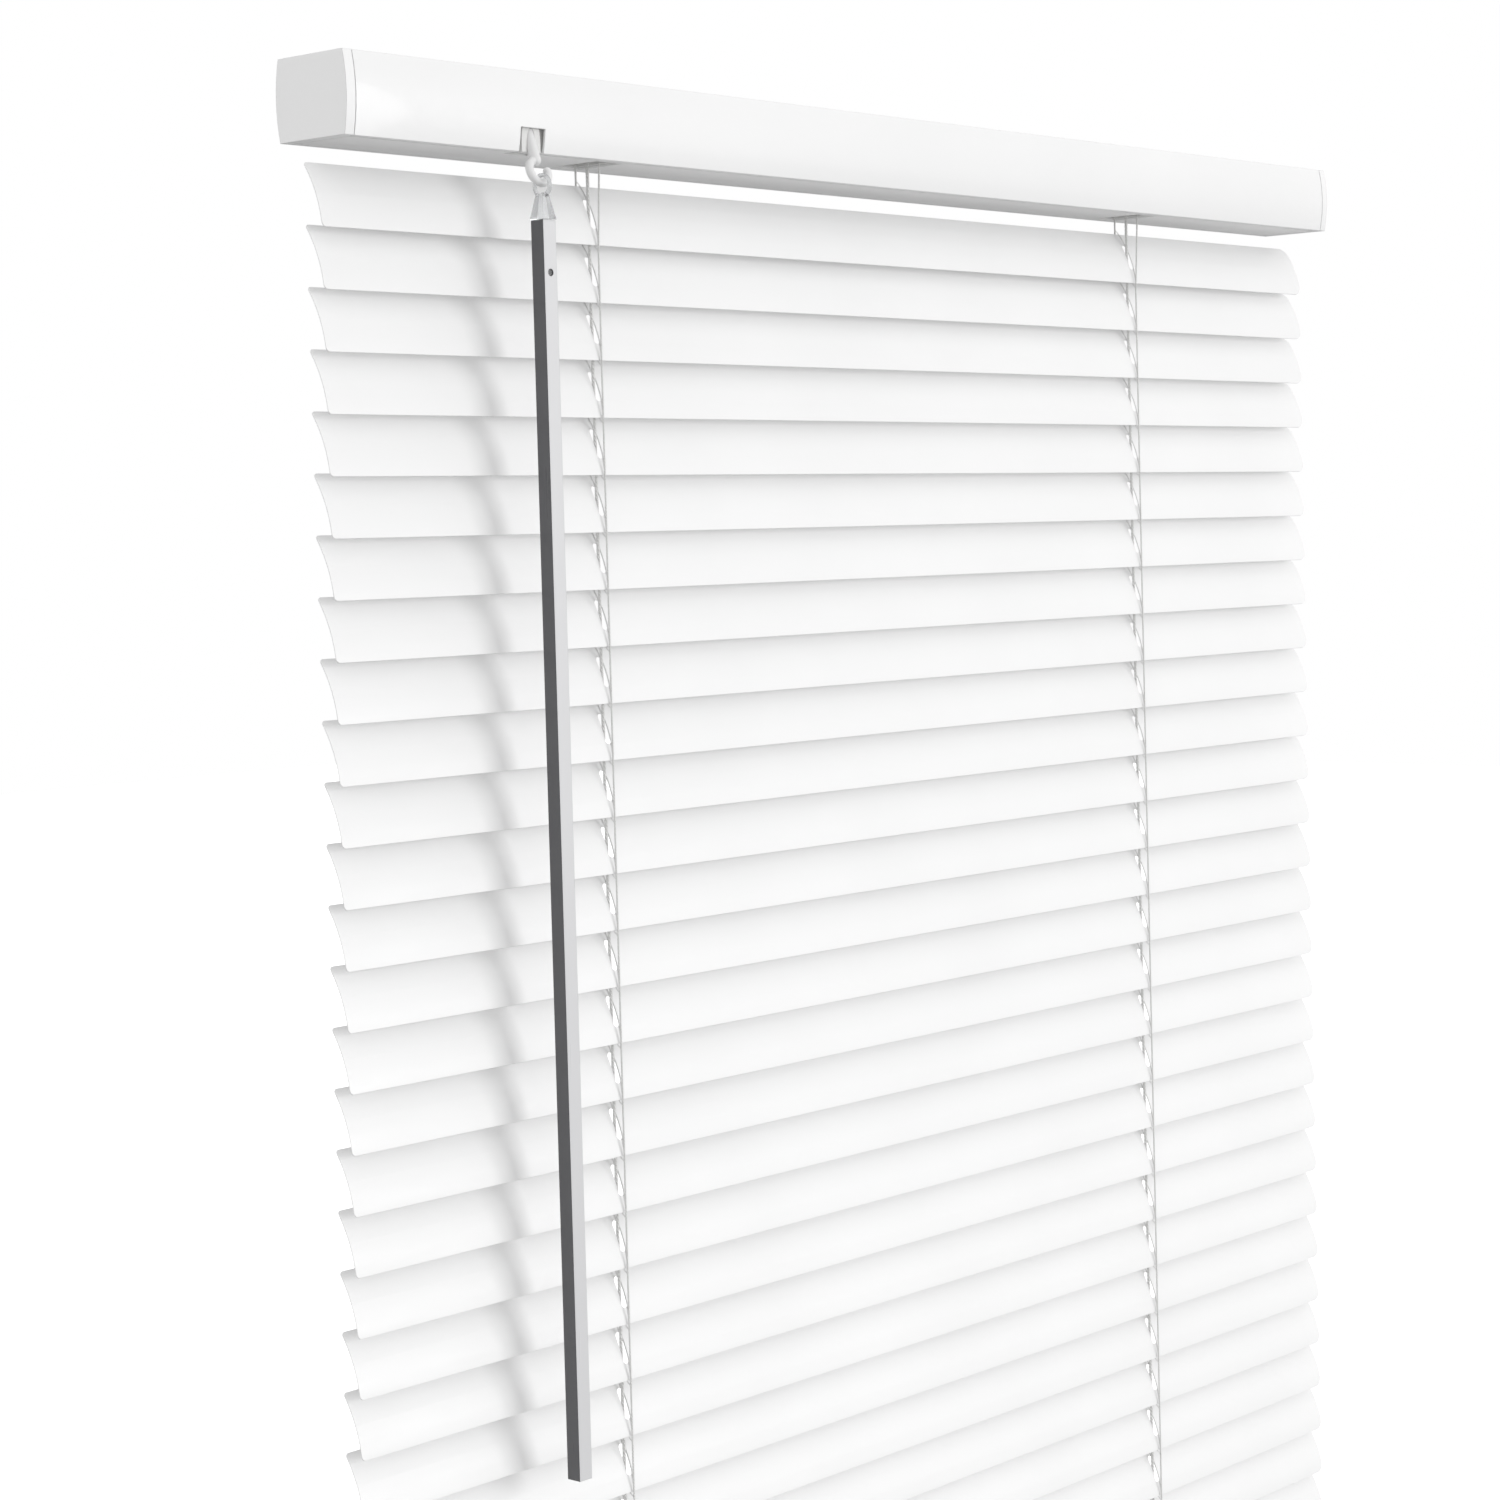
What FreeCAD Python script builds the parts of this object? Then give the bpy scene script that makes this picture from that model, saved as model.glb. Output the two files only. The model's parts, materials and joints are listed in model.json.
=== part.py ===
import FreeCAD, Part
import math
import os

# Cordless venetian blind, modelled with its slats closed: the room side edge of each slat is down.
# Units are millimetres. X runs along the width, +Y points to the wall and the room is at -Y, +Z is up.
# The origin is the centre of the headrail's top face.

# Headrail
headrail_width = 610.0
headrail_depth = 33.0
headrail_height = 28.5
headrail_crown = 1.6
headrail_wall = 0.8
headrail_top_lip = 5.0
underside_groove_width = 1.0
underside_groove_depth = 0.3
underside_groove_offset = 13.5
end_cap_thickness = 4.0
end_cap_gap = 0.3
end_cap_plug_length = 12.0
end_cap_plug_wall = 1.6
end_cap_clearance = 0.15

# Ladders, measured from the headrail's ends
left_ladder_inset = 131.0
right_ladder_inset = 139.0
ladder_cord_radius = 0.4
ladder_span_past_slat = 2.3
ladder_cord_drop = 0.8
ladder_lead_above_slat = 5.0
rung_radius = 0.3
rung_drop = 0.9
rung_end_gap = 0.6
rung_side_offset = 1.7

# Slats
slat_count = 30
slat_pitch = 21.0
first_slat_below_headrail = 18.0
slat_end_inset = 1.0
slat_sideways_hang = -1.0
slat_width = 24.0
slat_thickness = 0.35
slat_crown = 1.6
slat_left_corner_radius = 1.5
slat_right_corner_radius = 4.5
slat_closed_tilt = 68.0
slat_slot_length = 12.0
slat_slot_width = 3.2
gathered_slats = 4

# Bottom rail
rail_below_last_slat = 24.0
rail_width = 25.4
rail_height = 9.0
rail_wall = 0.9
rail_corner_radius = 1.8
rail_cap_thickness = 2.0
rail_cap_plug_length = 8.0
rail_cap_clearance = 0.15
rail_slot_length = 16.0
plug_head_radius = 5.0
plug_head_thickness = 1.5
plug_stem_radius = 2.5
plug_stem_past_wall = 0.8
plug_clearance = 0.1

# Lift cords
lift_cord_radius = 0.7
lift_cord_run_depth = 22.0
lift_cord_bend_radius = 3.0
lift_cord_rail_gap = 2.2
knot_radius = 2.0
cord_clearance = 0.3

# Tilt rod and the drums that carry the ladders
rod_depth = 12.0
rod_side = 5.0
rod_bore_clearance = 0.05
rod_end_overhang = 3.0
drum_radius = 6.5
drum_length = 12.0
hub_radius = 4.0
hub_clearance = 0.06

# Cradles
cradle_half_length = 9.0
cradle_to_headrail_face = 3.5
cradle_height = 9.0
cradle_wall = 2.0
cradle_arm_half_depth = 6.5
cradle_cord_gap = 0.5
cradle_opening_half_length = 4.5
cradle_opening_margin = 3.0
floor_opening_half_length = 7.0
floor_opening_margin = 1.5
floor_opening_overcut = 0.5

# Tilter
tilter_inset = 86.5
tilter_gear_teeth = 10
gear_outer_radius = 7.2
gear_root_radius = 5.6
gear_width = 8.0
worm_outer_radius = 3.2
worm_core_radius = 2.3
worm_mesh_gap = 0.3
worm_pitch = 2.0
worm_ridge_width = 0.9
worm_length = 10.0
worm_above_gear_centre = 4.5
tooth_rise_share = 0.22
tooth_crest_share = 0.48
tooth_fall_share = 0.70
stem_radius = 2.0
stem_clearance = 0.06
stem_exit_past_front = 0.89
stem_below_headrail = 3.0
hook_radius = 4.3
hook_wire_radius = 1.5
hook_sweep = 275.0
hook_tip_swell = 0.02
tilter_half_length = 10.0
tilter_wall = 2.0
tilter_side_gap = 0.5
tilter_nose_radius = 4.6
tilter_nose_length = 9.0
tilter_arm_half_depth = 7.0
tilter_back_gap = 4.5
tilter_web_height = 8.5
window_width = 12.0
window_depth = 8.5
window_above_stem = 1.08
window_crown_share = 0.7
window_clearance = 0.15

# Wand and its connector
wand_side = 6.1
wand_wall = 0.8
wand_length = 448.5
wand_hole_radius = 1.3
wand_hole_below_top = 18.5
ring_inner_radius = 2.9
ring_wire_radius = 0.8
ring_hook_gap = 0.35
connector_neck_width = 3.2
connector_neck_drop = 2.6
connector_taper_length = 9.5
connector_base_width = 6.6
connector_plug_length = 24.0
connector_plug_clearance = 0.15
connector_shoulder_gap = 0.2
nub_root = 0.5

# Spring motor
motor_half_length = 54.0
motor_to_headrail_face = 1.5
motor_height = 11.0
motor_wall = 1.4
spool_flange_step = 1.6
spool_wall_gap = 1.0
spool_height = 8.0
spool_flange_thickness = 1.0
spool_offset = 14.0
post_radius = 2.0
post_clearance = 0.06
spring_offset = 36.0
spring_height = 7.0
spring_wall_gap = 1.0
spring_cord_gap = 1.1
seat_gap = 0.3

# Distance that cutting solids run past the faces they cut
overcut = 1.0

# Derived values
half_width = headrail_width / 2.0
half_depth = headrail_depth / 2.0
channel_half_length = half_width - end_cap_thickness - end_cap_gap
floor_top = -headrail_height + headrail_wall
ladder_positions = {
    "left": -half_width + left_ladder_inset,
    "right": half_width - right_ladder_inset,
}
slat_half_length = half_width - slat_end_inset
first_slat_z = -headrail_height - first_slat_below_headrail
slat_axis_heights = [first_slat_z - index * slat_pitch for index in range(slat_count)]
rail_axis_z = slat_axis_heights[-1] - rail_below_last_slat
ladder_half_span = slat_width / 2.0 + ladder_span_past_slat
cradle_half_depth = half_depth - cradle_to_headrail_face
cradle_opening_half_depth = cradle_half_depth - cradle_opening_margin
floor_opening_half_depth = cradle_half_depth - floor_opening_margin
tilter_back_depth = half_depth - tilter_back_gap
rod_z = -rod_depth
tilter_x = -half_width + tilter_inset
worm_distance = gear_outer_radius + worm_outer_radius + worm_mesh_gap
# The stem passes the gear at the worm's distance and leaves through the headrail's lower front corner.
stem_exit_depth = half_depth + stem_exit_past_front
stem_exit_drop = headrail_height - rod_depth
stem_exit_reach = math.hypot(stem_exit_depth, stem_exit_drop)
stem_angle = math.acos(worm_distance / stem_exit_reach) - math.atan2(stem_exit_drop, stem_exit_depth)
# The window reaches a little above the place where the stem's front side crosses the front wall.
front_wall_depth = half_depth - headrail_wall + window_crown_share * headrail_crown
crossing_drop = (front_wall_depth * math.cos(stem_angle) - worm_distance - stem_radius) / math.sin(stem_angle)
window_height = headrail_height - rod_depth - crossing_drop + window_above_stem
stem_direction = FreeCAD.Vector(0, -math.sin(stem_angle), -math.cos(stem_angle))
worm_centre = FreeCAD.Vector(
    tilter_x,
    -worm_distance * math.cos(stem_angle),
    rod_z + worm_distance * math.sin(stem_angle),
)
worm_to_stem_end = (headrail_height + stem_below_headrail + worm_centre.z) / math.cos(stem_angle)
stem_end = worm_centre + stem_direction * worm_to_stem_end
hook_bottom = stem_end + stem_direction * (2 * hook_radius)
ring_centre = hook_bottom - FreeCAD.Vector(0, 0, ring_inner_radius - hook_wire_radius - ring_hook_gap)
wand_top = ring_centre - FreeCAD.Vector(0, 0, connector_neck_drop + connector_taper_length)
rail_half_length = slat_half_length - rail_cap_thickness
motor_floor = floor_top + motor_wall
motor_half_depth = half_depth - motor_to_headrail_face
motor_inner_half_depth = motor_half_depth - motor_wall
spool_room = motor_inner_half_depth - spool_wall_gap - spool_flange_step - cord_clearance - lift_cord_radius
spool_radius = spool_room / 2.0
spool_flange_radius = spool_radius + spool_flange_step
spring_room = motor_inner_half_depth - spring_wall_gap - spring_cord_gap - lift_cord_radius
spring_outer_radius = spring_room / 2.0
spring_y = motor_inner_half_depth - spring_outer_radius - spring_wall_gap
spring_centre = FreeCAD.Vector(-spring_offset, spring_y, 0)

os.makedirs("parts", exist_ok=True)


def save(name, shape):
    shape.exportStep(os.path.join("parts", name + ".step"))


def fused(shapes):
    result = shapes[0]
    for shape in shapes[1:]:
        result = result.fuse(shape)
    return result.removeSplitter()


def box(x0, x1, y0, y1, z0, z1):
    return Part.makeBox(x1 - x0, y1 - y0, z1 - z0, FreeCAD.Vector(x0, y0, z0))


def cylinder(start, direction, radius, length):
    return Part.makeCylinder(radius, length, start, direction)


def x_cylinder(x0, x1, y, z, radius):
    return cylinder(FreeCAD.Vector(x0, y, z), FreeCAD.Vector(1, 0, 0), radius, x1 - x0)


def runs_along(edge, axis):
    """Whether a straight edge is parallel to the axis named x, y or z."""
    direction = edge.tangentAt(edge.FirstParameter)
    return math.isclose(abs(getattr(direction, axis)), 1.0, abs_tol=1e-6)


def closed_tilt(shape, axis_z):
    """Turn a shape drawn level about X, then move it down to its tilt axis."""
    turned = shape.copy()
    turned.rotate(FreeCAD.Vector(0, 0, 0), FreeCAD.Vector(1, 0, 0), slat_closed_tilt)
    turned.translate(FreeCAD.Vector(0, 0, axis_z))
    return turned


def slat_point(across, normal, axis_z):
    """Place of a point given across a closed slat (+ to the room) and along its normal."""
    angle = math.radians(slat_closed_tilt)
    y = -across * math.cos(angle) - normal * math.sin(angle)
    z = -across * math.sin(angle) + normal * math.cos(angle)
    return y, axis_z + z


def barrel_face(inset, x):
    """Headrail section: flat top and bottom, crowned front and back, set in by a distance."""
    side = half_depth - inset
    bulge = side + headrail_crown
    top = -inset
    bottom = -headrail_height + inset
    middle = (top + bottom) / 2.0
    corners = [
        FreeCAD.Vector(x, -side, bottom),
        FreeCAD.Vector(x, side, bottom),
        FreeCAD.Vector(x, side, top),
        FreeCAD.Vector(x, -side, top),
    ]
    edges = [
        Part.LineSegment(corners[0], corners[1]).toShape(),
        Part.Arc(corners[1], FreeCAD.Vector(x, bulge, middle), corners[2]).toShape(),
        Part.LineSegment(corners[2], corners[3]).toShape(),
        Part.Arc(corners[3], FreeCAD.Vector(x, -bulge, middle), corners[0]).toShape(),
    ]
    return Part.Face(Part.Wire(edges))


def barrel(inset, x0, x1):
    return barrel_face(inset, x0).extrude(FreeCAD.Vector(x1 - x0, 0, 0))


def make_headrail():
    rail = barrel(0.0, -channel_half_length, channel_half_length)
    rail = rail.cut(barrel(headrail_wall, -half_width, half_width))
    slot_half = half_depth - headrail_top_lip
    rail = rail.cut(box(-half_width, half_width, -slot_half, slot_half, -2 * headrail_wall, headrail_wall))
    groove_floor = -headrail_height + underside_groove_depth
    for side in (-1, 1):
        middle = side * underside_groove_offset
        rail = rail.cut(box(-half_width, half_width, middle - underside_groove_width / 2.0,
                            middle + underside_groove_width / 2.0, -headrail_height - overcut, groove_floor))
    for x in ladder_positions.values():
        rail = rail.cut(box(x - floor_opening_half_length, x + floor_opening_half_length,
                            -floor_opening_half_depth, floor_opening_half_depth,
                            -headrail_height - overcut, floor_top + floor_opening_overcut))
    window_half = window_width / 2.0
    window_back = -half_depth + window_depth
    rail = rail.cut(box(tilter_x - window_half, tilter_x + window_half,
                        -half_depth - 2 * headrail_crown, window_back,
                        -headrail_height - overcut, -headrail_height + window_height))
    return rail


def make_end_cap(side):
    plate_start = side * (half_width - end_cap_thickness)
    plate = barrel(0.0, plate_start, side * half_width)
    plug_end = plate_start - side * end_cap_plug_length
    plug_inset = headrail_wall + end_cap_clearance
    plug = barrel(plug_inset, plate_start, plug_end)
    hollow = barrel(plug_inset + end_cap_plug_wall, plate_start, plug_end - side * overcut)
    return fused([plate, plug.cut(hollow)])


def drum_hub(x, half_length):
    return x_cylinder(x - half_length, x + half_length, 0, rod_z, hub_radius)


def rod_bore(x, half_length):
    half_side = rod_side / 2.0 + rod_bore_clearance
    return box(x - half_length, x + half_length, -half_side, half_side, rod_z - half_side, rod_z + half_side)


def make_drum(x):
    body = x_cylinder(x - drum_length / 2.0, x + drum_length / 2.0, 0, rod_z, drum_radius)
    drum = fused([body, drum_hub(x, cradle_half_length)])
    return drum.cut(rod_bore(x, cradle_half_length + overcut))


def hub_notch(x, half_length):
    """Open-topped seat for a hub: a bore with a slot above it."""
    radius = hub_radius + hub_clearance
    bore = x_cylinder(x - half_length, x + half_length, 0, rod_z, radius)
    slot = box(x - half_length, x + half_length, -radius, radius, rod_z, 0)
    return fused([bore, slot])


def make_cradle(x, inward):
    base_top = floor_top + cradle_wall
    tub_top = floor_top + cradle_height
    inner_half_length = cradle_half_length - cradle_wall
    inner_half_depth = cradle_half_depth - cradle_wall
    tub = box(x - cradle_half_length, x + cradle_half_length,
              -cradle_half_depth, cradle_half_depth, floor_top, tub_top)
    tub = tub.cut(box(x - inner_half_length, x + inner_half_length,
                      -inner_half_depth, inner_half_depth, base_top, tub_top + overcut))
    arm_top = rod_z + hub_radius
    arms = [tub]
    for end in (-1, 1):
        outer = x + end * cradle_half_length
        inner = x + end * inner_half_length
        arms.append(box(min(outer, inner), max(outer, inner),
                        -cradle_arm_half_depth, cradle_arm_half_depth, floor_top, arm_top))
    bar_x = x + inward * lift_cord_bend_radius
    bar_z = -lift_cord_run_depth - lift_cord_bend_radius
    bar_radius = lift_cord_bend_radius - lift_cord_radius - cord_clearance
    bar = cylinder(FreeCAD.Vector(bar_x, -inner_half_depth - overcut, bar_z), FreeCAD.Vector(0, 1, 0),
                   bar_radius, 2 * (inner_half_depth + overcut))
    cradle = fused(arms + [bar])
    cradle = cradle.cut(hub_notch(x, cradle_half_length + overcut))
    cradle = cradle.cut(box(x - cradle_opening_half_length, x + cradle_opening_half_length,
                            -cradle_opening_half_depth, cradle_opening_half_depth,
                            floor_top - overcut, base_top)).fuse(bar)
    passage_end = x + inward * (cradle_half_length + overcut)
    cradle = cradle.cut(x_cylinder(min(bar_x, passage_end), max(bar_x, passage_end),
                                   0, -lift_cord_run_depth, lift_cord_radius + cradle_cord_gap))
    return cradle.removeSplitter()


def make_gear():
    points = []
    tooth_angle = 2 * math.pi / tilter_gear_teeth
    for tooth in range(tilter_gear_teeth):
        for share, radius in ((0.0, gear_root_radius), (tooth_rise_share, gear_outer_radius),
                              (tooth_crest_share, gear_outer_radius), (tooth_fall_share, gear_root_radius)):
            angle = (tooth + share) * tooth_angle
            points.append(FreeCAD.Vector(tilter_x - gear_width / 2.0,
                                         radius * math.cos(angle), rod_z + radius * math.sin(angle)))
    points.append(points[0])
    teeth = Part.Face(Part.makePolygon(points)).extrude(FreeCAD.Vector(gear_width, 0, 0))
    gear = fused([teeth, drum_hub(tilter_x, tilter_half_length)])
    return gear.cut(rod_bore(tilter_x, tilter_half_length + overcut))


def make_rod():
    start = tilter_x - tilter_half_length - rod_end_overhang
    end = ladder_positions["right"] + cradle_half_length + rod_end_overhang
    half_side = rod_side / 2.0
    return box(start, end, -half_side, half_side, rod_z - half_side, rod_z + half_side)


def make_stem():
    worm_start = worm_centre - stem_direction * worm_above_gear_centre
    pieces = [cylinder(worm_start, stem_direction, worm_core_radius, worm_length)]
    ridge_count = int((worm_length - worm_ridge_width) / worm_pitch) + 1
    for index in range(ridge_count):
        ridge_start = worm_start + stem_direction * (index * worm_pitch)
        pieces.append(cylinder(ridge_start, stem_direction, worm_outer_radius, worm_ridge_width))
    pieces.append(cylinder(worm_start, stem_direction, stem_radius, (stem_end - worm_start).Length))
    ring = Part.makeTorus(hook_radius, hook_wire_radius, FreeCAD.Vector(0, 0, 0),
                          FreeCAD.Vector(0, 0, 1), 0, 360, hook_sweep)
    # The open ring starts on local +X, so it is turned until that point meets the stem.
    across = FreeCAD.Vector(1, 0, 0)
    upward = stem_direction * -1.0
    placement = FreeCAD.Placement(
        stem_end + stem_direction * hook_radius,
        FreeCAD.Rotation(upward, across * -1.0, FreeCAD.Vector(0, 0, 0), "XYZ"))
    ring.Placement = placement
    pieces.append(ring)
    tip_angle = math.radians(hook_sweep)
    tip = placement.multVec(FreeCAD.Vector(hook_radius * math.cos(tip_angle),
                                           hook_radius * math.sin(tip_angle), 0))
    pieces.append(Part.makeSphere(hook_wire_radius + hook_tip_swell, tip))
    pieces.append(Part.makeSphere(stem_radius, stem_end))
    return fused(pieces)


def make_tilter_housing():
    arm_top = rod_z + hub_radius
    back = tilter_arm_half_depth
    front = -half_depth + headrail_wall + tilter_side_gap
    x0 = tilter_x - tilter_half_length
    x1 = tilter_x + tilter_half_length
    base = box(x0, x1, front, tilter_back_depth, floor_top, floor_top + tilter_wall)
    pieces = [base]
    for start in (x0, x1 - tilter_wall):
        pieces.append(box(start, start + tilter_wall, front, back, floor_top, arm_top))
    nose_start = stem_end - stem_direction * (stem_below_headrail + tilter_nose_length)
    nose = cylinder(nose_start, stem_direction, tilter_nose_radius, tilter_nose_length)
    pieces.append(nose)
    web_top = floor_top + tilter_web_height
    pieces.append(box(x0, x1, front, front + tilter_wall, floor_top, web_top))
    housing = fused(pieces)
    keep = box(x0, x1, -half_depth, tilter_back_depth, -headrail_height, 0)
    housing = housing.common(keep)
    window_half = window_width / 2.0 - window_clearance
    collar_zone = box(tilter_x - window_half, tilter_x + window_half, -half_depth, back,
                      -headrail_height, floor_top)
    outside = box(x0, x1, -half_depth, tilter_back_depth, -headrail_height, floor_top)
    housing = housing.cut(outside.cut(collar_zone))
    housing = housing.cut(hub_notch(tilter_x, tilter_half_length + overcut))
    stem_bore = cylinder(worm_centre, stem_direction, stem_radius + stem_clearance, headrail_height)
    housing = housing.cut(stem_bore)
    return housing.removeSplitter()


def make_wand():
    half = wand_side / 2.0
    inner = half - wand_wall
    x, y, z = wand_top.x, wand_top.y, wand_top.z
    tube = box(x - half, x + half, y - half, y + half, z - wand_length, z)
    tube = tube.cut(box(x - inner, x + inner, y - inner, y + inner, z - wand_length - overcut, z + overcut))
    hole = cylinder(FreeCAD.Vector(x, y - wand_side, z - wand_hole_below_top),
                    FreeCAD.Vector(0, 1, 0), wand_hole_radius, wand_side)
    return tube.cut(hole)


def make_connector():
    ring_radius = ring_inner_radius + ring_wire_radius
    ring = Part.makeTorus(ring_radius, ring_wire_radius, ring_centre, FreeCAD.Vector(1, 0, 0))
    x, y = ring_centre.x, ring_centre.y
    neck_z = ring_centre.z - connector_neck_drop
    base_z = wand_top.z + connector_shoulder_gap

    def square(width, z):
        half = width / 2.0
        points = [FreeCAD.Vector(x - half, y - half, z), FreeCAD.Vector(x + half, y - half, z),
                  FreeCAD.Vector(x + half, y + half, z), FreeCAD.Vector(x - half, y + half, z)]
        return Part.makePolygon(points + [points[0]])

    taper = Part.makeLoft([square(connector_neck_width, neck_z), square(connector_base_width, base_z)],
                          True, True)
    hole = cylinder(FreeCAD.Vector(x - wand_side, y, ring_centre.z), FreeCAD.Vector(1, 0, 0),
                    ring_inner_radius, 2 * wand_side)
    plug_half = wand_side / 2.0 - wand_wall - connector_plug_clearance
    plug = box(x - plug_half, x + plug_half, y - plug_half, y + plug_half,
               base_z - connector_plug_length, base_z)
    nub_centre = wand_top.z - wand_hole_below_top
    nub_depth = wand_wall / 2.0 + connector_plug_clearance
    nub = cylinder(FreeCAD.Vector(x, y - plug_half - nub_depth, nub_centre), FreeCAD.Vector(0, 1, 0),
                   wand_hole_radius - connector_plug_clearance, nub_depth + nub_root)
    return fused([ring, taper.cut(hole), plug, nub])


def make_slat():
    """One slat drawn level about its tilt axis, crown up."""
    half = slat_width / 2.0
    radius = (half * half + slat_crown * slat_crown) / (2 * slat_crown)
    centre_z = slat_crown / 2.0 - radius
    outer = radius + slat_thickness / 2.0
    inner = radius - slat_thickness / 2.0
    x0 = slat_sideways_hang - slat_half_length
    length = 2 * slat_half_length
    sheet = x_cylinder(x0, x0 + length, 0, centre_z, outer)
    sheet = sheet.cut(x_cylinder(x0 - overcut, x0 + length + overcut, 0, centre_z, inner))
    plan = box(x0, x0 + length, -half, half, -slat_width, slat_width)
    for radius_of_corner, at_left in ((slat_left_corner_radius, True), (slat_right_corner_radius, False)):
        corners = [edge for edge in plan.Edges
                   if runs_along(edge, "z") and (edge.CenterOfMass.x < slat_sideways_hang) == at_left
                   and edge.Length > slat_width]
        plan = plan.makeFillet(radius_of_corner, corners)
    upper_half = box(x0, x0 + length, -half, half, -slat_crown - overcut, slat_crown + overcut)
    sheet = sheet.common(plan).common(upper_half)
    slot_half = slat_slot_length / 2.0 - slat_slot_width / 2.0
    for x in ladder_positions.values():
        slot = box(x - slat_slot_width / 2.0, x + slat_slot_width / 2.0, -slot_half, slot_half,
                   -slat_width, slat_width)
        ends = [cylinder(FreeCAD.Vector(x, end * slot_half, -slat_width), FreeCAD.Vector(0, 0, 1),
                         slat_slot_width / 2.0, 2 * slat_width) for end in (-1, 1)]
        sheet = sheet.cut(fused([slot] + ends))
    return sheet


def rounded_bar(width, height, radius, x0, x1):
    bar = box(x0, x1, -width / 2.0, width / 2.0, -height / 2.0, height / 2.0)
    return bar.makeFillet(radius, [edge for edge in bar.Edges if runs_along(edge, "x")])


def make_rail():
    rail = rounded_bar(rail_width, rail_height, rail_corner_radius, -rail_half_length, rail_half_length)
    rail = rail.cut(rounded_bar(rail_width - 2 * rail_wall, rail_height - 2 * rail_wall,
                                rail_corner_radius - rail_wall, -half_width, half_width))
    for x in ladder_positions.values():
        rail = rail.cut(box(x - slat_slot_width / 2.0, x + slat_slot_width / 2.0,
                            -rail_slot_length / 2.0, rail_slot_length / 2.0, 0, rail_height))
        rail = rail.cut(cylinder(FreeCAD.Vector(x, 0, -rail_height), FreeCAD.Vector(0, 0, 1),
                                 plug_stem_radius + plug_clearance, rail_height))
    return rail


def make_rail_cap(side):
    plate = rounded_bar(rail_width, rail_height, rail_corner_radius,
                        min(side * rail_half_length, side * slat_half_length),
                        max(side * rail_half_length, side * slat_half_length))
    plug_end = side * (rail_half_length - rail_cap_plug_length)
    inset = 2 * (rail_wall + rail_cap_clearance)
    plug = rounded_bar(rail_width - inset, rail_height - inset, rail_corner_radius - rail_wall,
                       min(side * rail_half_length, plug_end), max(side * rail_half_length, plug_end))
    return fused([plate, plug])


def make_ladder_plugs():
    plugs = []
    for x in ladder_positions.values():
        head = cylinder(FreeCAD.Vector(x, 0, -rail_height / 2.0 - plug_head_thickness),
                        FreeCAD.Vector(0, 0, 1), plug_head_radius, plug_head_thickness)
        stem = cylinder(FreeCAD.Vector(x, 0, -rail_height / 2.0 - plug_head_thickness),
                        FreeCAD.Vector(0, 0, 1), plug_stem_radius,
                        plug_head_thickness + rail_wall + plug_stem_past_wall)
        plugs.append(closed_tilt(fused([head, stem]), rail_axis_z))
    return Part.makeCompound(plugs)


def rung(x, axis_z):
    """The cross thread under one closed slat."""
    reach = ladder_half_span - rung_end_gap
    normal = -slat_crown / 2.0 - rung_drop
    y0, z0 = slat_point(-reach, normal, axis_z)
    y1, z1 = slat_point(reach, normal, axis_z)
    start = FreeCAD.Vector(x + rung_side_offset, y0, z0)
    return cylinder(start, FreeCAD.Vector(0, y1 - y0, z1 - z0), rung_radius, 2 * reach)


def ladder_cord_line(side):
    """Y of a ladder cord, and the height of its knot at the first slat. side is +1 at the room."""
    return slat_point(side * ladder_half_span, -ladder_cord_drop, first_slat_z)


def make_ladder_cords(side):
    y, pivot_z = ladder_cord_line(side)
    top = pivot_z + ladder_lead_above_slat
    half_height = rail_height / 2.0
    angle = math.radians(slat_closed_tilt)
    if side > 0:
        across = (-y - ladder_cord_radius - half_height * math.sin(angle)) / math.cos(angle)
        bottom = rail_axis_z - across * math.sin(angle) + half_height * math.cos(angle)
    else:
        bottom = slat_point(-rail_width / 2.0, half_height, rail_axis_z)[1]
    bottom += cord_clearance + 2 * ladder_cord_radius
    cords = [cylinder(FreeCAD.Vector(x, y, bottom), FreeCAD.Vector(0, 0, 1), ladder_cord_radius, top - bottom)
             for x in ladder_positions.values()]
    return Part.makeCompound(cords)


def make_leads_and_rungs():
    pieces = []
    for x in ladder_positions.values():
        for side in (1, -1):
            y, pivot_z = ladder_cord_line(side)
            top = FreeCAD.Vector(x, -side * (drum_radius + ladder_cord_radius + cord_clearance), rod_z)
            bottom = FreeCAD.Vector(x, y, pivot_z + ladder_lead_above_slat + cord_clearance)
            pieces.append(cylinder(top, bottom - top, ladder_cord_radius, (bottom - top).Length))
        for axis_z in slat_axis_heights[:-gathered_slats]:
            pieces.append(rung(x, axis_z))
    return Part.makeCompound(pieces)


def make_lift_cords():
    """Each cord leaves its spool level, bends down over the cradle's bar and drops to the rail."""
    run_z = -lift_cord_run_depth
    bend = lift_cord_bend_radius
    corner = bend * (1.0 - math.sqrt(0.5))
    bottom = slat_point(-rail_width / 2.0, rail_height / 2.0, rail_axis_z)[1] + lift_cord_rail_gap
    cords = []
    for name, inward in (("left", 1), ("right", -1)):
        x = ladder_positions[name]
        start = FreeCAD.Vector(-inward * spool_offset, 0, run_z)
        turn_start = FreeCAD.Vector(x + inward * bend, 0, run_z)
        turn_middle = FreeCAD.Vector(x + inward * corner, 0, run_z - corner)
        turn_end = FreeCAD.Vector(x, 0, run_z - bend)
        end = FreeCAD.Vector(x, 0, bottom)
        route = Part.Wire([
            Part.LineSegment(start, turn_start).toShape(),
            Part.Arc(turn_start, turn_middle, turn_end).toShape(),
            Part.LineSegment(turn_end, end).toShape(),
        ])
        section = Part.Wire(Part.makeCircle(lift_cord_radius, start, FreeCAD.Vector(1, 0, 0)))
        cords.append(route.makePipeShell([section], True, False))
    return Part.makeCompound(cords)


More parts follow.
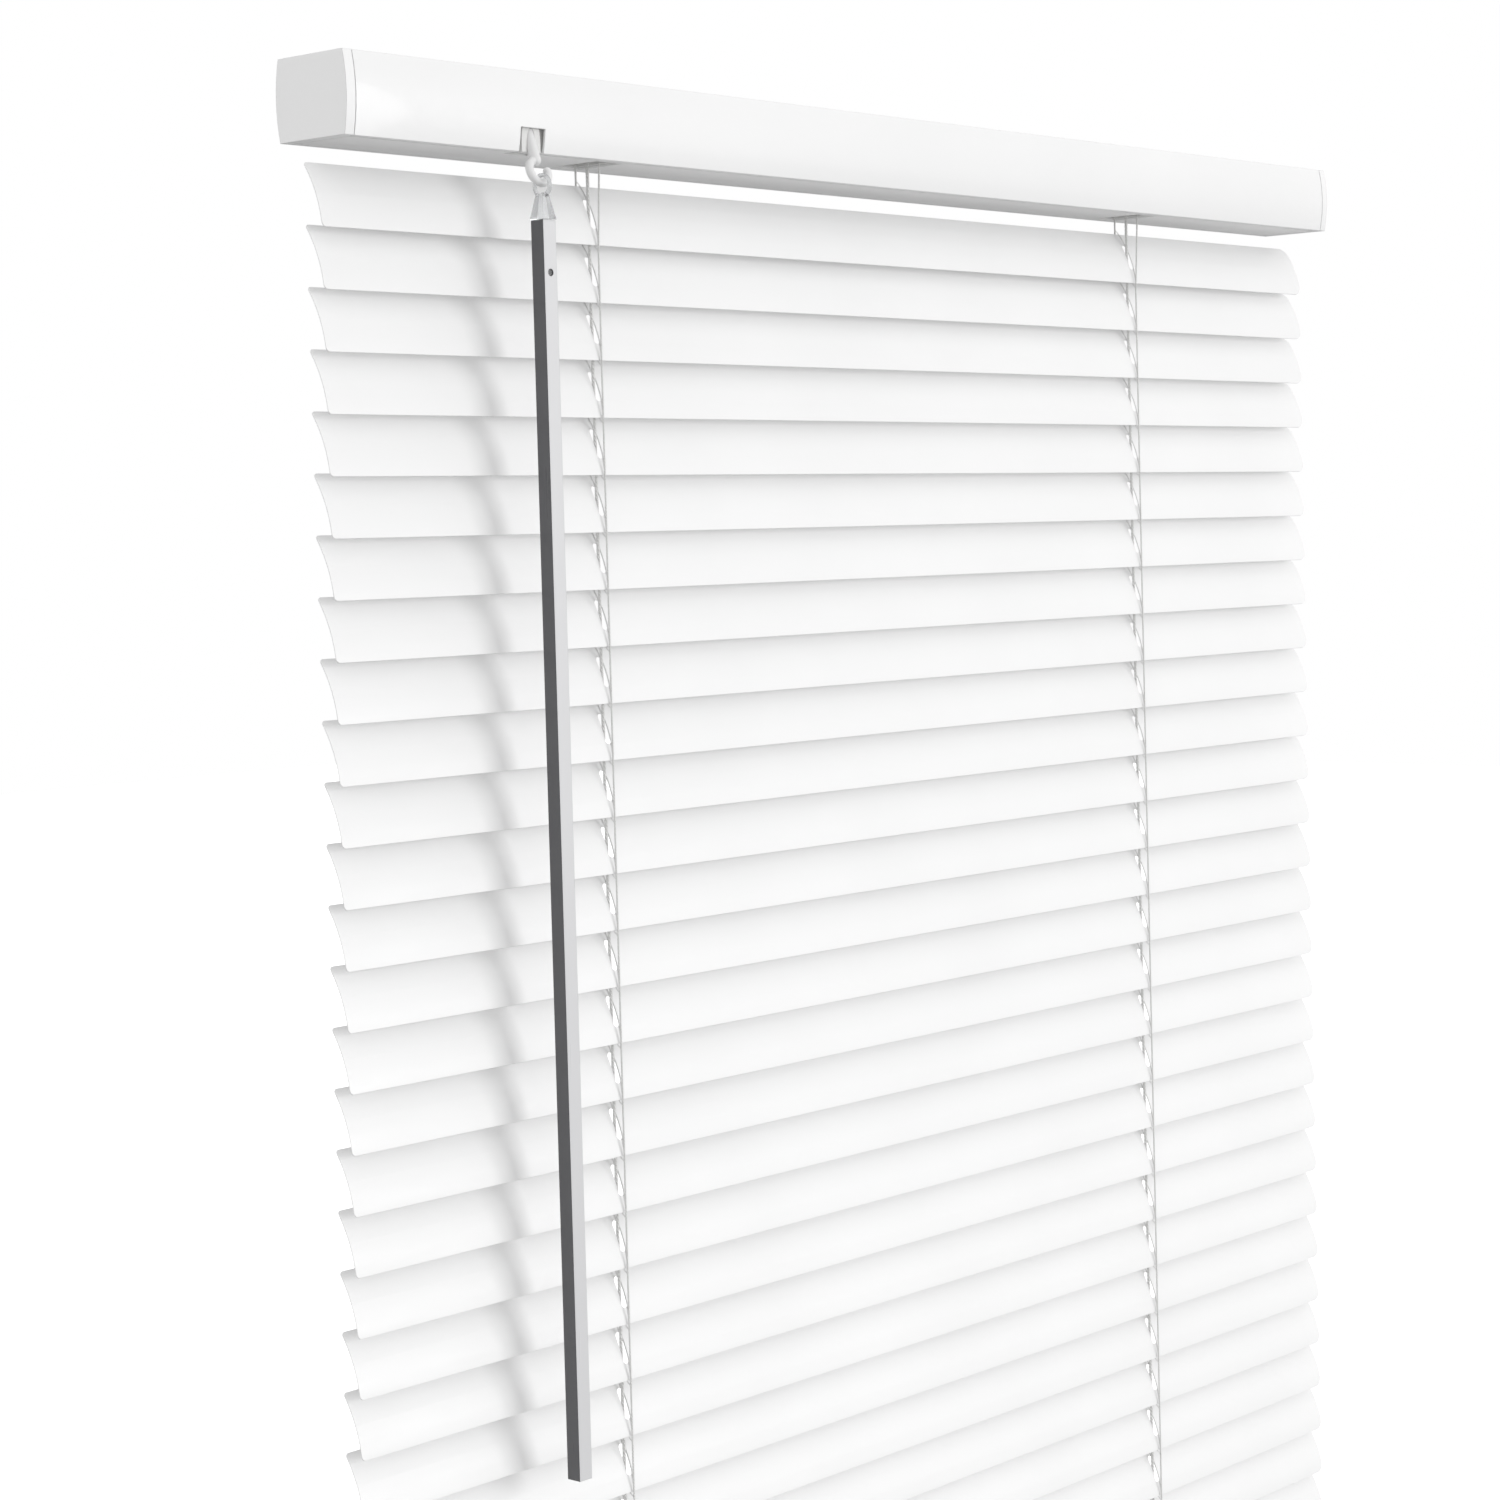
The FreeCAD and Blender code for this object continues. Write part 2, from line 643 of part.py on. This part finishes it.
def spool_centre(side):
    reach = spool_radius + cord_clearance + lift_cord_radius
    return FreeCAD.Vector(side * spool_offset, -side * reach, 0)


def make_spool(side):
    centre = spool_centre(side)
    z0 = motor_floor + seat_gap
    upper_z = z0 + spool_height - spool_flange_thickness
    seat = FreeCAD.Vector(centre.x, centre.y, z0)
    core = Part.makeCylinder(spool_radius, spool_height, seat)
    lower = Part.makeCylinder(spool_flange_radius, spool_flange_thickness, seat)
    upper = Part.makeCylinder(spool_flange_radius, spool_flange_thickness,
                              FreeCAD.Vector(centre.x, centre.y, upper_z))
    bore = Part.makeCylinder(post_radius + post_clearance, spool_height + 2 * overcut,
                             FreeCAD.Vector(centre.x, centre.y, z0 - overcut))
    return fused([core, lower, upper]).cut(bore)


def make_power_spring():
    z0 = motor_floor + seat_gap
    coil = Part.makeCylinder(spring_outer_radius, spring_height,
                             FreeCAD.Vector(spring_centre.x, spring_centre.y, z0))
    bore = Part.makeCylinder(post_radius + post_clearance, spring_height + 2 * overcut,
                             FreeCAD.Vector(spring_centre.x, spring_centre.y, z0 - overcut))
    return coil.cut(bore)


def make_motor_housing():
    tray = box(-motor_half_length, motor_half_length, -motor_half_depth, motor_half_depth,
               floor_top, floor_top + motor_height)
    tray = tray.cut(box(-motor_half_length + motor_wall, motor_half_length - motor_wall,
                        -motor_inner_half_depth, motor_inner_half_depth,
                        motor_floor, floor_top + motor_height + overcut))
    pieces = [tray]
    for centre in (spool_centre(-1), spool_centre(1), spring_centre):
        pieces.append(Part.makeCylinder(post_radius, motor_wall + seat_gap + spool_height,
                                        FreeCAD.Vector(centre.x, centre.y, floor_top)))
    cord_passage = x_cylinder(-motor_half_length - overcut, motor_half_length + overcut,
                              0, -lift_cord_run_depth, lift_cord_radius + cord_clearance)
    return fused(pieces).cut(cord_passage)


save("headrail", make_headrail())
save("end_cap_left", make_end_cap(-1))
save("end_cap_right", make_end_cap(1))
save("cradle_left", make_cradle(ladder_positions["left"], 1))
save("cradle_right", make_cradle(ladder_positions["right"], -1))
save("ladder_drum_left", make_drum(ladder_positions["left"]))
save("ladder_drum_right", make_drum(ladder_positions["right"]))
save("tilt_rod", make_rod())
save("tilter_gear", make_gear())
save("tilter_housing", make_tilter_housing())
save("tilter_stem", make_stem())
save("wand_connector", make_connector())
save("wand", make_wand())

save("spring_motor_housing", make_motor_housing())
save("cord_spool_left", make_spool(-1))
save("cord_spool_right", make_spool(1))
save("power_spring", make_power_spring())

level_slat = make_slat()
for index, axis_height in enumerate(slat_axis_heights):
    save("slat_%02d" % (index + 1), closed_tilt(level_slat, axis_height))

for index in range(slat_count - gathered_slats, slat_count):
    rungs = [rung(x, slat_axis_heights[index]) for x in ladder_positions.values()]
    save("ladder_rungs_%02d" % (index + 1), Part.makeCompound(rungs))

save("ladder_front_cords", make_ladder_cords(1))
save("ladder_back_cords", make_ladder_cords(-1))
save("ladder_leads_and_rungs", make_leads_and_rungs())
save("lift_cords", make_lift_cords())

save("bottom_rail", closed_tilt(make_rail(), rail_axis_z))
save("rail_cap_left", closed_tilt(make_rail_cap(-1), rail_axis_z))
save("rail_cap_right", closed_tilt(make_rail_cap(1), rail_axis_z))
save("ladder_plugs", make_ladder_plugs())
knots = [Part.makeSphere(knot_radius, FreeCAD.Vector(x, 0, rail_axis_z)) for x in ladder_positions.values()]
save("lift_cord_knots", Part.makeCompound(knots))
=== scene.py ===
import json
import math

import bpy
from mathutils import Matrix, Vector


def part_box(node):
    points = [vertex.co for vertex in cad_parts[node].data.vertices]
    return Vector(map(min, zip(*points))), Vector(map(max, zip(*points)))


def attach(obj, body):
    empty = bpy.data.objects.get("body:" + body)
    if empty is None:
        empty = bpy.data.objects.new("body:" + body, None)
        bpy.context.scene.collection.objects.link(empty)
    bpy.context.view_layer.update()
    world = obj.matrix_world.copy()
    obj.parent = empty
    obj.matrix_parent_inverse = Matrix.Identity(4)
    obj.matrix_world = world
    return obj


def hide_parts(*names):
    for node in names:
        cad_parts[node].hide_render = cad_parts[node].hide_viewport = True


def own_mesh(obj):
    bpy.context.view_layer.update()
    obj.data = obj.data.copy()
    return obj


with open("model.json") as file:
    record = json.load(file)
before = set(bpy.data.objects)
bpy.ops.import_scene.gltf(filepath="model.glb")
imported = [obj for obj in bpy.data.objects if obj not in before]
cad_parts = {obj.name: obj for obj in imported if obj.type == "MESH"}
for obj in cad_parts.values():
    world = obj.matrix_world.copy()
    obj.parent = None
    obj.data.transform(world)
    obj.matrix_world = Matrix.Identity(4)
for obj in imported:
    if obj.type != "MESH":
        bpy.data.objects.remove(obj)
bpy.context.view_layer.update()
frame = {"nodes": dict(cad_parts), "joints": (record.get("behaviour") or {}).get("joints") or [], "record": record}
record = frame["record"]

MM = 0.001
# Sizes shared with the model, in metres
SLAT_COUNT = 30
GATHERED_SLATS = 4
SLAT_PITCH = 21.0 * MM
SLAT_WIDTH = 24.0 * MM
SLAT_CROWN = 1.6 * MM
SLAT_THICKNESS = 0.35 * MM
CLOSED_TILT = math.radians(68.0)
LADDER_HALF_SPAN = 14.3 * MM
LADDER_CORD_DROP = 0.8 * MM
LADDER_CORD_RADIUS = 0.42 * MM
LIFT_CORD_RADIUS = 0.7 * MM
RUNG_RADIUS = 0.2 * MM
RUNG_SPREAD = 0.9 * MM
# The back cords start this far above the first slat, where the leads come down behind it
BACK_CORD_RISE = 17.0 * MM
BACK_LEAD_DROP = 16.0 * MM
SPOOL_REACH = 14.0 * MM
LIFT_CORD_BEND = 3.0 * MM

# How the cords look: strands each way, length of one twist and length of one piece of mesh
LADDER_BRAID = (2, 2.4 * MM, 0.5 * MM)
LIFT_BRAID = (3, 5.0 * MM, 0.7 * MM)
RUNG_BRAID = (2, 1.6 * MM, 0.5 * MM)
# How far out the strands lie, as a share of the cord's radius
LAY_SHARE = 0.55
STRAND_SIDES = 5
# From a slat's face to the middle of a thread, in thread radii
RUNG_GAP = 1.3
RUNG_STEPS = 16
BEND_STEPS = 6

joints = {joint["name"]: joint for joint in frame["joints"]}
first_slat_z = joints["slat_01_tilt"]["pos_m"][2]
drum_boxes = {side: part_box("ladder_drum_" + side) for side in ("left", "right")}
ladder_x = {side: (low[0] + high[0]) / 2.0 for side, (low, high) in drum_boxes.items()}
drum_z = (drum_boxes["left"][0][2] + drum_boxes["left"][1][2]) / 2.0
drum_radius = (drum_boxes["left"][1][2] - drum_boxes["left"][0][2]) / 2.0


def slat_axis(index):
    return first_slat_z - index * SLAT_PITCH


def slat_point(across, normal, axis_z):
    """Place of a point given across a closed slat (+ to the room) and along its normal."""
    y = -across * math.cos(CLOSED_TILT) - normal * math.sin(CLOSED_TILT)
    z = -across * math.sin(CLOSED_TILT) + normal * math.cos(CLOSED_TILT)
    return y, axis_z + z


# ---------------------------------------------------------------- materials

def new_material(name):
    material = bpy.data.materials.new(name)
    material.use_nodes = True
    tree = material.node_tree
    shader = tree.nodes["Principled BSDF"]
    return material, tree, shader


def add_noise(tree, scale, detail, stretch=(1.0, 1.0, 1.0)):
    place = tree.nodes.new("ShaderNodeTexCoord")
    mapping = tree.nodes.new("ShaderNodeMapping")
    mapping.inputs["Scale"].default_value = stretch
    noise = tree.nodes.new("ShaderNodeTexNoise")
    noise.inputs["Scale"].default_value = scale
    noise.inputs["Detail"].default_value = detail
    tree.links.new(place.outputs["Object"], mapping.inputs["Vector"])
    tree.links.new(mapping.outputs["Vector"], noise.inputs["Vector"])
    return noise.outputs["Fac"]


def ramp(tree, factor, low, high, start=0.3, end=0.7):
    node = tree.nodes.new("ShaderNodeMapRange")
    node.inputs["From Min"].default_value = start
    node.inputs["From Max"].default_value = end
    node.inputs["To Min"].default_value = low
    node.inputs["To Max"].default_value = high
    tree.links.new(factor, node.inputs["Value"])
    return node.outputs["Result"]


def mix_colours(tree, factor, first, second):
    node = tree.nodes.new("ShaderNodeMix")
    node.data_type = "RGBA"
    node.inputs["A"].default_value = (*first, 1.0)
    node.inputs["B"].default_value = (*second, 1.0)
    tree.links.new(factor, node.inputs["Factor"])
    return node.outputs["Result"]


def add_bump(tree, shader, height, strength, distance, edge_radius):
    bevel = tree.nodes.new("ShaderNodeBevel")
    bevel.samples = 6
    bevel.inputs["Radius"].default_value = edge_radius
    bump = tree.nodes.new("ShaderNodeBump")
    bump.inputs["Strength"].default_value = strength
    bump.inputs["Distance"].default_value = distance
    tree.links.new(height, bump.inputs["Height"])
    tree.links.new(bevel.outputs["Normal"], bump.inputs["Normal"])
    tree.links.new(bump.outputs["Normal"], shader.inputs["Normal"])


def coated(name, light, dark, *, rough, spread, grain, strength, edge_radius,
           stretch=(1.0, 1.0, 1.0), metallic=0.0, coat=0.0):
    """A painted, moulded or drawn surface: two close tones, uneven gloss and a fine grain."""
    material, tree, shader = new_material(name)
    broad = add_noise(tree, 14.0, 3.0)
    fine = add_noise(tree, grain, 4.0, stretch)
    tree.links.new(mix_colours(tree, ramp(tree, broad, 0.0, 1.0), light, dark), shader.inputs["Base Color"])
    tree.links.new(ramp(tree, fine, rough - spread, rough + spread), shader.inputs["Roughness"])
    shader.inputs["Metallic"].default_value = metallic
    shader.inputs["Coat Weight"].default_value = coat
    add_bump(tree, shader, fine, strength, distance=0.2 * MM, edge_radius=edge_radius)
    return material


def wand_material():
    """Milky extruded plastic with painted shade on its -X face, which turns with the wand."""
    milky, painted_shade_tone = (0.62, 0.62, 0.63), (0.085, 0.085, 0.09)
    material, tree, shader = new_material("wand_plastic")
    fine = add_noise(tree, 260.0, 3.0, (1.0, 1.0, 0.04))
    place = tree.nodes.new("ShaderNodeTexCoord")
    split = tree.nodes.new("ShaderNodeSeparateXYZ")
    tree.links.new(place.outputs["Normal"], split.inputs["Vector"])
    flip = tree.nodes.new("ShaderNodeMath")
    flip.operation = "MULTIPLY"
    flip.inputs[1].default_value = -1.0
    tree.links.new(split.outputs["X"], flip.inputs[0])
    # Painted shade: faces turned to -X in the wand's own space get a near-black tone in place of the milky one
    side = ramp(tree, flip.outputs["Value"], 0.0, 1.0, 0.2, 0.8)
    tree.links.new(mix_colours(tree, side, milky, painted_shade_tone), shader.inputs["Base Color"])
    tree.links.new(ramp(tree, fine, 0.26, 0.36), shader.inputs["Roughness"])
    add_bump(tree, shader, fine, strength=0.15, distance=0.1 * MM, edge_radius=0.4 * MM)
    return material


def connector_material():
    """Clear moulded plastic, a little frosted."""
    material, tree, shader = new_material("connector_plastic")
    fine = add_noise(tree, 300.0, 3.0)
    tree.links.new(mix_colours(tree, ramp(tree, fine, 0.0, 1.0), (0.86, 0.87, 0.88), (0.78, 0.79, 0.8)),
                   shader.inputs["Base Color"])
    tree.links.new(ramp(tree, fine, 0.12, 0.22), shader.inputs["Roughness"])
    shader.inputs["Transmission Weight"].default_value = 0.88
    shader.inputs["IOR"].default_value = 1.45
    add_bump(tree, shader, fine, strength=0.1, distance=0.1 * MM, edge_radius=0.3 * MM)
    return material


def cord_material():
    """Matt white braid."""
    material, tree, shader = new_material("white_cord")
    fine = add_noise(tree, 2600.0, 2.0)
    tree.links.new(mix_colours(tree, ramp(tree, fine, 0.0, 1.0), (0.82, 0.82, 0.81), (0.66, 0.66, 0.65)),
                   shader.inputs["Base Color"])
    tree.links.new(ramp(tree, fine, 0.75, 0.95), shader.inputs["Roughness"])
    shader.inputs["Sheen Weight"].default_value = 0.2
    add_bump(tree, shader, fine, strength=0.5, distance=0.1 * MM, edge_radius=0.1 * MM)
    return material


# The grain of a drawn surface is long along X
DRAWN_GRAIN = (0.1, 1.0, 1.0)
STEEL_GRAIN = (0.03, 1.0, 1.0)
MATERIALS = {
    "headrail_enamel": coated("headrail_enamel", (0.83, 0.83, 0.83), (0.81, 0.81, 0.81), rough=0.38,
                              spread=0.04, grain=420.0, strength=0.08, edge_radius=0.4 * MM, coat=0.15),
    "cap_plastic": coated("cap_plastic", (0.84, 0.84, 0.84), (0.82, 0.82, 0.82), rough=0.45, spread=0.05,
                          grain=600.0, strength=0.12, edge_radius=0.5 * MM),
    "slat_vinyl": coated("slat_vinyl", (0.84, 0.84, 0.84), (0.82, 0.82, 0.82), rough=0.40, spread=0.04,
                         grain=380.0, strength=0.06, edge_radius=0.1 * MM, stretch=DRAWN_GRAIN),
    "rail_vinyl": coated("rail_vinyl", (0.83, 0.83, 0.83), (0.81, 0.81, 0.81), rough=0.40, spread=0.04,
                         grain=380.0, strength=0.06, edge_radius=0.5 * MM, stretch=DRAWN_GRAIN),
    "white_cord": cord_material(),
    "mechanism_plastic": coated("mechanism_plastic", (0.72, 0.72, 0.71), (0.66, 0.66, 0.65), rough=0.55,
                                spread=0.06, grain=700.0, strength=0.15, edge_radius=0.3 * MM),
    "hook_plastic": coated("hook_plastic", (0.74, 0.74, 0.74), (0.66, 0.66, 0.66), rough=0.35, spread=0.05,
                           grain=700.0, strength=0.12, edge_radius=0.2 * MM),
    "connector_plastic": connector_material(),
    "wand_plastic": wand_material(),
    "mechanism_steel": coated("mechanism_steel", (0.62, 0.62, 0.63), (0.5, 0.5, 0.51), rough=0.34,
                              spread=0.08, grain=900.0, strength=0.2, edge_radius=0.3 * MM,
                              stretch=STEEL_GRAIN, metallic=1.0),
}

slot_of_node = {part["node"]: part["material_slot"] for part in record["subparts"]}
for node_name, node in frame["nodes"].items():
    for material_slot in node.material_slots:
        material_slot.link = "OBJECT"
        material_slot.material = MATERIALS[slot_of_node[node_name]]


# ---------------------------------------------------------------- cords

def path_points(corners, step):
    """Points along a polyline, closer together than a step."""
    points = []
    for start, end in zip(corners[:-1], corners[1:]):
        start, end = Vector(start), Vector(end)
        count = max(1, int((end - start).length / step))
        for index in range(count):
            points.append(start.lerp(end, index / count))
    points.append(Vector(corners[-1]))
    return points


def braid(corners, radius, strands, twist_length, step):
    """Vertices and faces of a cord of two sets of strands that wind opposite ways round one line."""
    points = path_points(corners, step)
    tangents = []
    for index in range(len(points)):
        before = points[max(0, index - 1)]
        after = points[min(len(points) - 1, index + 1)]
        tangents.append((after - before).normalized())
    side = tangents[0].orthogonal().normalized()
    frames = []
    travelled = 0.0
    for index, tangent in enumerate(tangents):
        side = (side - tangent * side.dot(tangent)).normalized()
        if index:
            travelled += (points[index] - points[index - 1]).length
        frames.append((points[index], side.copy(), tangent.cross(side), travelled))
    lay_radius = radius * LAY_SHARE
    strand_radius = radius - lay_radius
    vertices, faces = [], []
    for way in (-1, 1):
        for strand in range(strands):
            phase = 2 * math.pi * (strand + 0.25 * (way + 1)) / strands
            base = len(vertices)
            for point, across, up, length in frames:
                angle = phase + way * 2 * math.pi * length / twist_length
                outward = across * math.cos(angle) + up * math.sin(angle)
                around = up * math.cos(angle) - across * math.sin(angle)
                centre = point + outward * lay_radius
                for corner in range(STRAND_SIDES):
                    turn = 2 * math.pi * corner / STRAND_SIDES
                    rim = outward * math.cos(turn) + around * math.sin(turn)
                    vertices.append(centre + rim * strand_radius)
            for ring in range(len(frames) - 1):
                near = base + ring * STRAND_SIDES
                far = near + STRAND_SIDES
                for corner in range(STRAND_SIDES):
                    nearby = (corner + 1) % STRAND_SIDES
                    faces.append((near + corner, near + nearby, far + nearby, far + corner))
            faces.append(tuple(base + corner for corner in reversed(range(STRAND_SIDES))))
            last = base + (len(frames) - 1) * STRAND_SIDES
            faces.append(tuple(last + corner for corner in range(STRAND_SIDES)))
    return vertices, faces


def cord_piece(name, routes, radius, braiding):
    """One mesh object of several braided cords."""
    vertices, faces = [], []
    for route in routes:
        some_vertices, some_faces = braid(route, radius, *braiding)
        base = len(vertices)
        vertices += some_vertices
        faces += [tuple(base + index for index in face) for face in some_faces]
    mesh = bpy.data.meshes.new(name)
    mesh.from_pydata([tuple(vertex) for vertex in vertices], [], faces)
    mesh.shade_smooth()
    piece = bpy.data.objects.new(name, mesh)
    bpy.context.scene.collection.objects.link(piece)
    piece.data.materials.append(MATERIALS["white_cord"])
    return piece


def ladder_cord(name, routes):
    return cord_piece(name, routes, LADDER_CORD_RADIUS, LADDER_BRAID)


last_still_slat = SLAT_COUNT - GATHERED_SLATS - 1
front_y, front_top = slat_point(LADDER_HALF_SPAN, -LADDER_CORD_DROP, slat_axis(0))
back_y, back_top = slat_point(-LADDER_HALF_SPAN, -LADDER_CORD_DROP, slat_axis(0))
front_join = slat_point(LADDER_HALF_SPAN, -LADDER_CORD_DROP, slat_axis(last_still_slat))[1]
back_join = slat_point(-LADDER_HALF_SPAN, -LADDER_CORD_DROP, slat_axis(last_still_slat))[1]
front_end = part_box("ladder_front_cords")[0][2]
back_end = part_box("ladder_back_cords")[0][2]

# The cords of the gathered slats are pieces of their own, which shorten as the rail rises
back_cord_top = back_top + BACK_CORD_RISE
for name, y, top, join, end in (("ladder_front", front_y, front_top, front_join, front_end),
                                ("ladder_back", back_y, back_cord_top, back_join, back_end)):
    upper = ladder_cord(name + "_upper", [[(x, y, top), (x, y, join)] for x in ladder_x.values()])
    lower = ladder_cord(name + "_lower", [[(x, y, join), (x, y, end)] for x in ladder_x.values()])
    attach(upper, name)
    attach(lower, name)
    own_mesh(lower)
    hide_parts(name + "_cords")

# The leads between the drums and the first slat
lead_y = drum_radius + LADDER_CORD_RADIUS
front_lead = ladder_cord("ladder_lead_front",
                         [[(x, -lead_y, drum_z), (x, front_y, front_top)] for x in ladder_x.values()])
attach(front_lead, "root")
front_rise = back_top - front_top
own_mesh(front_lead)
back_lead = ladder_cord("ladder_lead_back",
                        [[(x, lead_y, drum_z), (x, back_y, drum_z - BACK_LEAD_DROP),
                          (x, back_y, back_cord_top - front_rise)] for x in ladder_x.values()])
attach(back_lead, "root")
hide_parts("ladder_leads_and_rungs")

# Lift cords, whole from the spools to the bottom rail
run_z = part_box("lift_cords")[1][2] - LIFT_CORD_RADIUS
lift_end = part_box("lift_cords")[0][2]
routes = []
for side, inward in (("left", 1), ("right", -1)):
    x = ladder_x[side]
    route = [(-inward * SPOOL_REACH, 0, run_z)]
    for part in range(BEND_STEPS + 1):
        angle = math.pi / 2 * part / BEND_STEPS
        route.append((x + inward * LIFT_CORD_BEND * (1 - math.sin(angle)), 0,
                      run_z - LIFT_CORD_BEND * (1 - math.cos(angle))))
    route.append((x, 0, lift_end))
    routes.append(route)
lift_cords = cord_piece("lift_cord_pair", routes, LIFT_CORD_RADIUS, LIFT_BRAID)
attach(lift_cords, "root")
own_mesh(lift_cords)
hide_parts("lift_cords")

# Cross threads: one over and one under each slat
arc_radius = (SLAT_WIDTH ** 2 / 4 + SLAT_CROWN ** 2) / (2 * SLAT_CROWN)


def rung_route(x, axis_z, over):
    """A thread from the front cord to the back cord, which follows the slat between them."""
    route = []
    half_width = SLAT_WIDTH / 2
    surface = SLAT_THICKNESS / 2 + RUNG_RADIUS * RUNG_GAP
    for part in range(RUNG_STEPS + 1):
        across = LADDER_HALF_SPAN * (2 * part / RUNG_STEPS - 1.0)
        inside = max(-half_width, min(half_width, across))
        share = max(0.0, (abs(across) - half_width) / (LADDER_HALF_SPAN - half_width))
        if over:
            normal = SLAT_CROWN / 2 - inside ** 2 / (2 * arc_radius) + surface
        else:
            normal = -SLAT_CROWN / 2 - surface
        normal = normal * (1 - share) - LADDER_CORD_DROP * share
        y, z = slat_point(across, normal, axis_z)
        spread = (RUNG_SPREAD if over else -RUNG_SPREAD) * (1 - share)
        route.append((x + spread, y, z))
    return route


for index in range(SLAT_COUNT):
    number = "%02d" % (index + 1)
    threads = []
    for x in ladder_x.values():
        for over in (True, False):
            threads.append(rung_route(x, slat_axis(index), over))
    rungs = cord_piece("cross_threads_" + number, threads, RUNG_RADIUS, RUNG_BRAID)
    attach(rungs, "slat_" + number)
    if index > last_still_slat:
        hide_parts("ladder_rungs_" + number)

# ---------------------------------------------------------------- stage, light and camera

FLOOR_LIGHT = (0.40, 0.40, 0.40)
FLOOR_DARK = (0.38, 0.38, 0.38)
WORLD_STRENGTH = 1.0
KEY_POWER = 84.0
FILL_POWER = 4.0
FLOOR_HALF = 12.0
FLOOR_Z = -1.3
FLOOR_CORNERS = ((-1, -1), (1, -1), (1, 1), (-1, 1))
floor_mesh = bpy.data.meshes.new("floor")
floor_mesh.from_pydata([(x * FLOOR_HALF, y * FLOOR_HALF, FLOOR_Z) for x, y in FLOOR_CORNERS],
                       [], [(0, 1, 2, 3)])
floor = bpy.data.objects.new("floor", floor_mesh)
bpy.context.scene.collection.objects.link(floor)
floor_material, floor_tree, floor_shader = new_material("pale_floor")
floor_noise = add_noise(floor_tree, 3.0, 3.0)
floor_tree.links.new(mix_colours(floor_tree, floor_noise, FLOOR_LIGHT, FLOOR_DARK),
                     floor_shader.inputs["Base Color"])
floor_shader.inputs["Roughness"].default_value = 0.8
floor_shader.inputs["Emission Color"].default_value = (1.0, 1.0, 1.0, 1.0)
# The camera sees the floor as plain white, so that it doesn't show an edge against the world
floor_path = floor_tree.nodes.new("ShaderNodeLightPath")
floor_tree.links.new(floor_path.outputs["Is Camera Ray"], floor_shader.inputs["Emission Strength"])
floor.data.materials.append(floor_material)

world = bpy.data.worlds.new("studio")
world.use_nodes = True
bpy.context.scene.world = world
background = world.node_tree.nodes["Background"]
background.inputs["Strength"].default_value = WORLD_STRENGTH
background.inputs["Color"].default_value = (1.0, 1.0, 1.0, 1.0)

LIGHT_TARGET = Vector((0.0, 0.0, -0.32))


def softbox(name, azimuth, elevation, distance, size, power):
    """A square light seen from the object at an angle right of the front and above level."""
    turn, rise = math.radians(azimuth), math.radians(elevation)
    away = Vector((math.sin(turn) * math.cos(rise), -math.cos(turn) * math.cos(rise), math.sin(rise)))
    data = bpy.data.lights.new(name, "AREA")
    data.shape = "SQUARE"
    data.size = size
    data.energy = power
    lamp = bpy.data.objects.new(name, data)
    lamp.location = LIGHT_TARGET + away * distance
    lamp.rotation_mode = "QUATERNION"
    lamp.rotation_quaternion = away.to_track_quat("Z", "Y")
    bpy.context.scene.collection.objects.link(lamp)


softbox("key", azimuth=28.0, elevation=5.0, distance=5.0, size=2.0, power=KEY_POWER)
softbox("fill", azimuth=-82.0, elevation=6.0, distance=2.6, size=1.5, power=FILL_POWER)

CAMERA_PLACE = (-1.0206, -0.8351, -0.1656)
CAMERA_YAW = math.radians(48.307)
CAMERA_PITCH = math.radians(-2.531)
CAMERA_ROLL = math.radians(-1.517)
SENSOR = 36.0
LENS_PER_SENSOR = 2.1473
CAMERA_SHIFT = (-0.0105, -0.0481)
CAMERA_RANGE = (0.01, 60.0)
forward = Vector((math.sin(CAMERA_YAW) * math.cos(CAMERA_PITCH),
                  math.cos(CAMERA_YAW) * math.cos(CAMERA_PITCH), math.sin(CAMERA_PITCH)))
level_right = Vector((math.cos(CAMERA_YAW), -math.sin(CAMERA_YAW), 0.0))
level_up = level_right.cross(forward)
right = level_right * math.cos(CAMERA_ROLL) + level_up * math.sin(CAMERA_ROLL)
up = level_up * math.cos(CAMERA_ROLL) - level_right * math.sin(CAMERA_ROLL)
camera_data = bpy.data.cameras.new("camera")
camera_data.sensor_width = SENSOR
camera_data.lens = SENSOR * LENS_PER_SENSOR
camera_data.shift_x, camera_data.shift_y = CAMERA_SHIFT
camera_data.clip_start, camera_data.clip_end = CAMERA_RANGE
camera = bpy.data.objects.new("camera", camera_data)
turned = Matrix((right, up, -forward)).transposed().to_4x4()
camera.matrix_world = Matrix.Translation(Vector(CAMERA_PLACE)) @ turned
bpy.context.scene.collection.objects.link(camera)
bpy.context.scene.camera = camera

scene = bpy.context.scene
scene.view_settings.view_transform = "Standard"
scene.view_settings.look = "None"
scene.view_settings.exposure = 0.0
